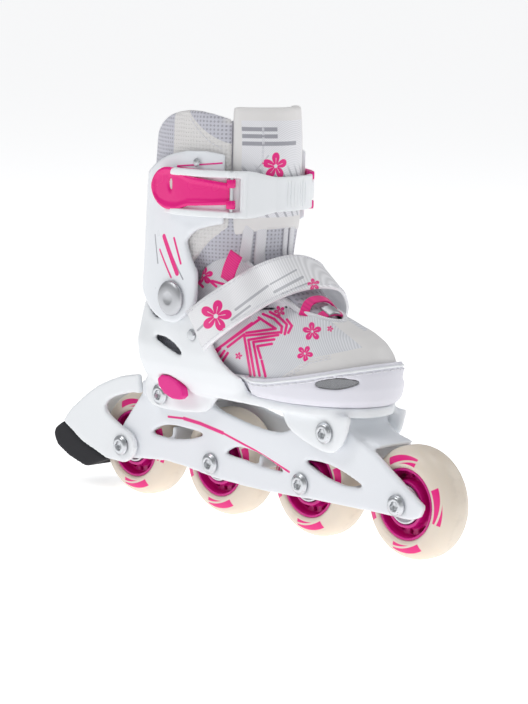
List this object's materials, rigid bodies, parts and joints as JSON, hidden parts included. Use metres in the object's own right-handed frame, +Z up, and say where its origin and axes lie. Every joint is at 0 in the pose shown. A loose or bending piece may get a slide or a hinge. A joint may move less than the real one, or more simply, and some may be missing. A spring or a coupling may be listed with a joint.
{
  "type": "adjustable inline skate",
  "caption": "Childs adjustable inline skate for the right foot: soft boot in a hinged shell, buckle and instep straps, wheels in a row and a heel brake.",
  "frame": {"origin": "on the ground, at the middle of the bounding box of the whole skate", "axes": "+X towards the toe, +Y towards the inner side of the foot, +Z up"},
  "size_m": [0.3242, 0.0934, 0.2434],
  "materials": {
    "white_plastic": "satin",
    "sole": "satin",
    "pink_plastic": "satin",
    "hub": "satin",
    "tyre": "cast urethane",
    "fabric": "satin weave",
    "mesh_fabric": "spacer mesh",
    "pink_fabric": "flat woven",
    "steel": "zinc plated",
    "black_rubber": "moulded"
  },
  "bodies": {
    "chassis": {"frame": "white_plastic", "brake_arm": "white_plastic", "brake_pad": "black_rubber", "brake_pad_screw": "steel", "heel_shell": "white_plastic", "front_mount_bolt": "steel", "front_mount_nut": "steel", "rear_mount_bolt": "steel", "rear_mount_nut": "steel", "liner_boot": "mesh_fabric", "tongue_lower": "fabric", "footbed": "mesh_fabric", "button_spring": "steel", "pivot_lateral": "steel", "pivot_medial": "steel", "instep_screw": "steel", "wheel_1_axle_bolt": "steel", "wheel_1_axle_nut": "steel", "wheel_2_axle_bolt": "steel", "wheel_2_axle_nut": "steel", "wheel_3_axle_bolt": "steel", "wheel_3_axle_nut": "steel", "wheel_4_axle_bolt": "steel", "wheel_4_axle_nut": "steel"},
    "toe": {"toe_shell": "sole", "vamp": "fabric", "vent_lateral": "mesh_fabric", "vent_medial": "mesh_fabric", "lace": "pink_fabric", "size_rack": "black_rubber"},
    "instep": {"instep_strap": "fabric", "instep_rivet_medial": "steel", "pull_tab": "pink_fabric"},
    "ankle": {"cuff": "white_plastic", "liner_collar": "mesh_fabric", "tongue_upper": "fabric", "strap_catch": "pink_plastic", "catch_pin": "steel", "strap_rivet": "steel"},
    "buckle": {"buckle_strap": "white_plastic", "lever_pin": "steel"},
    "lever": {"buckle_lever": "pink_plastic"},
    "button": {"size_button": "pink_plastic"},
    "wheel_1": {"wheel_1_tyre": "tyre", "wheel_1_hub": "hub", "wheel_1_bearing_lateral": "steel", "wheel_1_bearing_medial": "steel"},
    "wheel_2": {"wheel_2_tyre": "tyre", "wheel_2_hub": "hub", "wheel_2_bearing_lateral": "steel", "wheel_2_bearing_medial": "steel"},
    "wheel_3": {"wheel_3_tyre": "tyre", "wheel_3_hub": "hub", "wheel_3_bearing_lateral": "steel", "wheel_3_bearing_medial": "steel"},
    "wheel_4": {"wheel_4_tyre": "tyre", "wheel_4_hub": "hub", "wheel_4_bearing_lateral": "steel", "wheel_4_bearing_medial": "steel"}
  },
  "joints": [
    {"name": "wheel_1_spin", "type": "hinge", "parent": "chassis", "child": "wheel_1", "pos_m": [0.13005, 0.0017, 0.032], "axis": [0, 1, 0], "continuous": true},
    {"name": "wheel_2_spin", "type": "hinge", "parent": "chassis", "child": "wheel_2", "pos_m": [0.05465, 0.0017, 0.032], "axis": [0, 1, 0], "continuous": true},
    {"name": "wheel_3_spin", "type": "hinge", "parent": "chassis", "child": "wheel_3", "pos_m": [-0.02075, 0.0017, 0.032], "axis": [0, 1, 0], "continuous": true},
    {"name": "wheel_4_spin", "type": "hinge", "parent": "chassis", "child": "wheel_4", "pos_m": [-0.09615, 0.0017, 0.032], "axis": [0, 1, 0], "continuous": true},
    {"name": "toe_extension", "type": "slide", "parent": "chassis", "child": "toe", "axis": [1, 0, 0], "range_m": [0, 0.02]},
    {"name": "instep_peel", "type": "hinge", "parent": "toe", "child": "instep", "pos_m": [0.01435, 0.0427, 0.11], "axis": [-0.722, 0, 0.6919], "range_deg": [0, 30]},
    {"name": "cuff_flex", "type": "hinge", "parent": "chassis", "child": "ankle", "pos_m": [-0.03105, 0.0017, 0.131], "axis": [0, 1, 0], "range_deg": [-3, 8]},
    {"name": "buckle_swing", "type": "hinge", "parent": "ankle", "child": "buckle", "pos_m": [0.00805, 0.03226, 0.194], "axis": [0, 0, 1], "range_deg": [0, 75]},
    {"name": "lever_swing", "type": "hinge", "parent": "buckle", "child": "lever", "pos_m": [0.0099, -0.03273, 0.194], "axis": [0, 0, 1], "range_deg": [0, 100]},
    {"name": "button_press", "type": "slide", "parent": "chassis", "child": "button", "axis": [0, 1, 0], "range_m": [0, 0.0016], "stiffness_N_per_m": 600}
  ]
}
